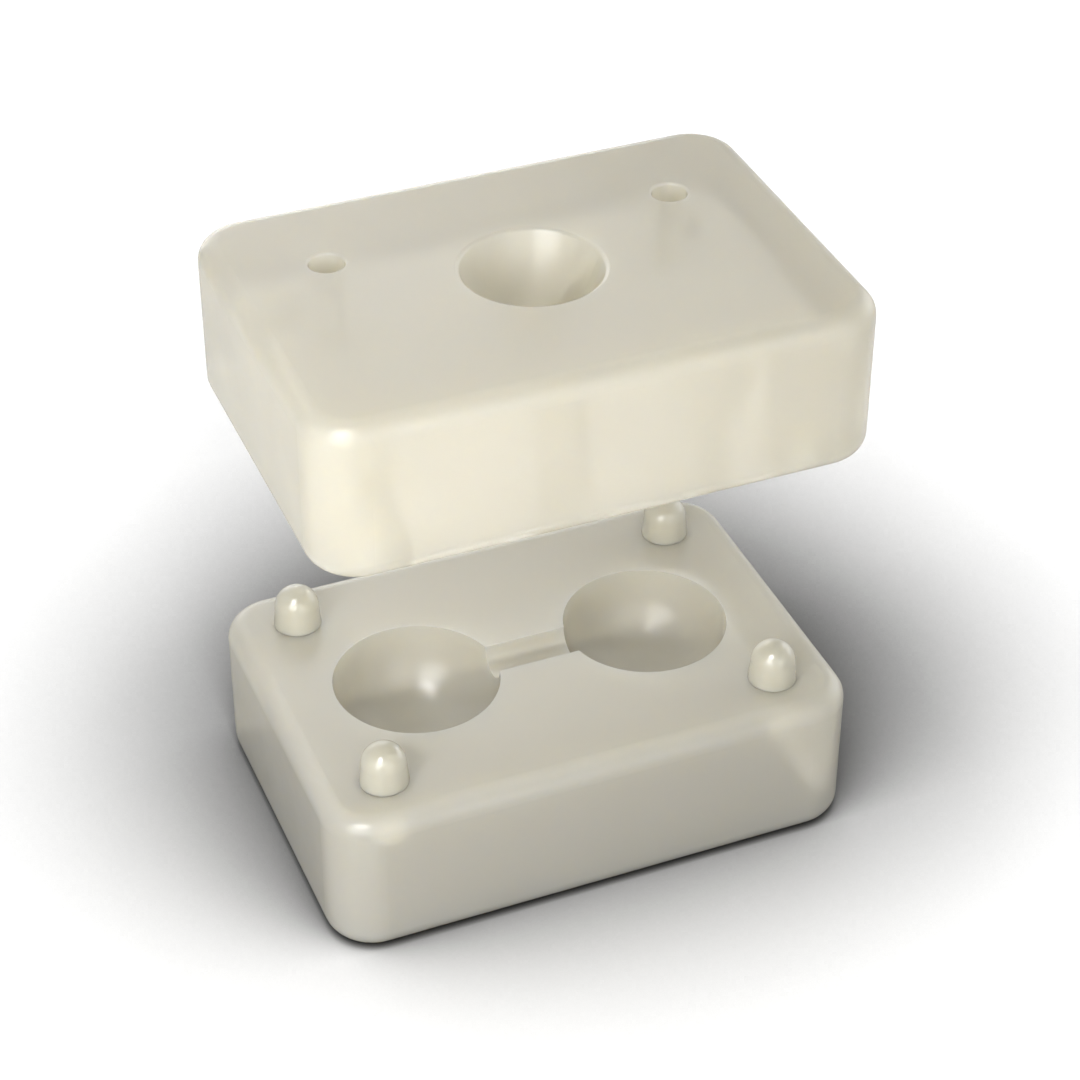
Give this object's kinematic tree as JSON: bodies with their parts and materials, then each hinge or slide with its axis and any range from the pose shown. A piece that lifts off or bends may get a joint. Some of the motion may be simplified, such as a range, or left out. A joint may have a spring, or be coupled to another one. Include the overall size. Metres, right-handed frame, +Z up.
{
  "type": "two-part casting mould",
  "caption": "Open two-part casting mould: lower block with half-ball cavities, runner and locating pins; flat-faced upper block with pouring sprue, air vents and pin sockets.",
  "frame": {"origin": "centre of the lower half's underside", "axes": "+Z up, the way the mould opens; +X to the right along the long side; +Y to the back, where the vents are"},
  "size_m": [0.1, 0.0698, 0.1113],
  "materials": {
    "mould_rubber": "glossy, slightly translucent cast silicone rubber, cream",
    "pin_resin": "glossy cast resin, cream"
  },
  "bodies": {
    "lower": {"lower_half": "mould_rubber", "pin_front_left": "pin_resin", "pin_front_right": "pin_resin", "pin_back_left": "pin_resin", "pin_back_right": "pin_resin"},
    "upper": {"upper_half": "mould_rubber"}
  },
  "joints": [
    {"name": "mould_opening", "type": "slide", "parent": "lower", "child": "upper", "axis": [0, 0, 1], "range_m": [-0.052, 0]}
  ]
}
